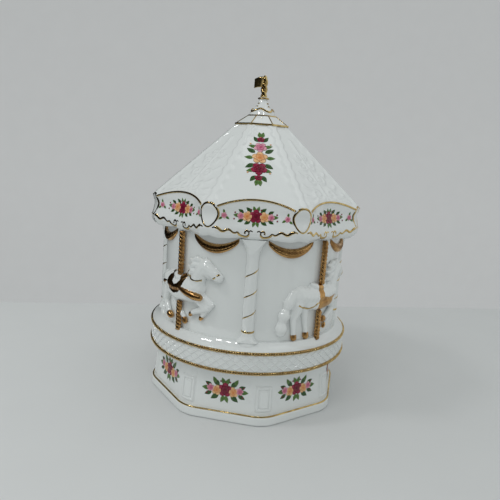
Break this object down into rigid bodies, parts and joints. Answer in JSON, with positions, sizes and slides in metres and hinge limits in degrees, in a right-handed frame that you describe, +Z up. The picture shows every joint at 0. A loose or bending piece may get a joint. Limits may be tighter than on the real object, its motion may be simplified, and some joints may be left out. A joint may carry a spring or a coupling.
{
  "type": "carousel music box",
  "caption": "Porcelain carousel music box: a round drum with relief horses under an octagonal roof turns on a pedestal that hides a wind-up pin-cylinder movement.",
  "frame": {"origin": "middle of the foot rim, on the plane it stands on", "axes": "+Z up along the turning axis, one side of the pedestal faces -Y"},
  "size_m": [0.1314, 0.1314, 0.2],
  "materials": {
    "porcelain": "glossy",
    "gilt": "gilded",
    "brass": "satin",
    "steel": "satin",
    "zinc": "cast",
    "board": "matte"
  },
  "bodies": {
    "base": {"base_pedestal": "porcelain", "cover_plate": "board", "cover_screws": "steel", "bedplate": "zinc", "bedplate_screws": "steel", "arbor_bush": "brass", "click_spring": "steel", "click_screw": "steel", "comb": "steel", "comb_anvil": "zinc", "comb_screws": "steel", "left_bearing": "brass", "right_bearing": "brass", "layshaft_cock": "brass", "governor_cock": "brass"},
    "carousel": {"platform": "porcelain", "lower_rope": "gilt", "upper_rope": "gilt", "drum_wall": "porcelain", "pillar_1": "porcelain", "pillar_2": "porcelain", "pillar_3": "porcelain", "pillar_4": "porcelain", "pole_1": "gilt", "pole_2": "gilt", "pole_3": "gilt", "pole_4": "gilt", "horse_1": "porcelain", "horse_2": "porcelain", "horse_3": "porcelain", "horse_4": "porcelain", "swags": "gilt", "roof": "porcelain", "valance": "porcelain", "medallions": "porcelain", "roof_cap": "porcelain", "finial": "porcelain", "flag": "gilt", "turntable_plate": "steel", "turntable_shaft": "brass", "turntable_screw": "steel", "great_wheel": "brass", "spring_barrel": "brass", "barrel_cover": "brass", "mainspring": "steel"},
    "key": {"winding_key": "brass", "spring_arbor": "steel", "ratchet_wheel": "steel", "thrust_washer": "brass"},
    "cylinder": {"pin_cylinder": "brass", "cylinder_arbor": "steel", "cylinder_pinion": "brass", "cylinder_wheel": "brass"},
    "layshaft_body": {"layshaft": "steel", "worm_wheel": "brass"},
    "governor": {"governor_worm": "steel", "governor_fan": "brass"}
  },
  "joints": [
    {"name": "carousel_spin", "type": "hinge", "parent": "base", "child": "carousel", "pos_m": [0, 0, 0.032], "axis": [0, 0, 1], "continuous": true},
    {"name": "key_turn", "type": "hinge", "parent": "base", "child": "key", "pos_m": [0, 0, 0.0045], "axis": [0, 0, 1], "range_deg": [0, 1800]},
    {"name": "cylinder_spin", "type": "hinge", "parent": "base", "child": "cylinder", "pos_m": [0.028, 0, 0.0185], "axis": [1, 0, 0], "continuous": true},
    {"name": "layshaft_spin", "type": "hinge", "parent": "base", "child": "layshaft_body", "pos_m": [0.041, 0.0067, 0.0185], "axis": [1, 0, 0], "continuous": true},
    {"name": "governor_spin", "type": "hinge", "parent": "base", "child": "governor", "pos_m": [0.04235, 0.0131, 0.0185], "axis": [0, 0, 1], "continuous": true}
  ],
  "couplings": [
    {"joint": "cylinder_spin", "follows": "carousel_spin", "ratio": -3},
    {"joint": "layshaft_spin", "follows": "carousel_spin", "ratio": 11.25},
    {"joint": "governor_spin", "follows": "carousel_spin", "ratio": -270}
  ]
}
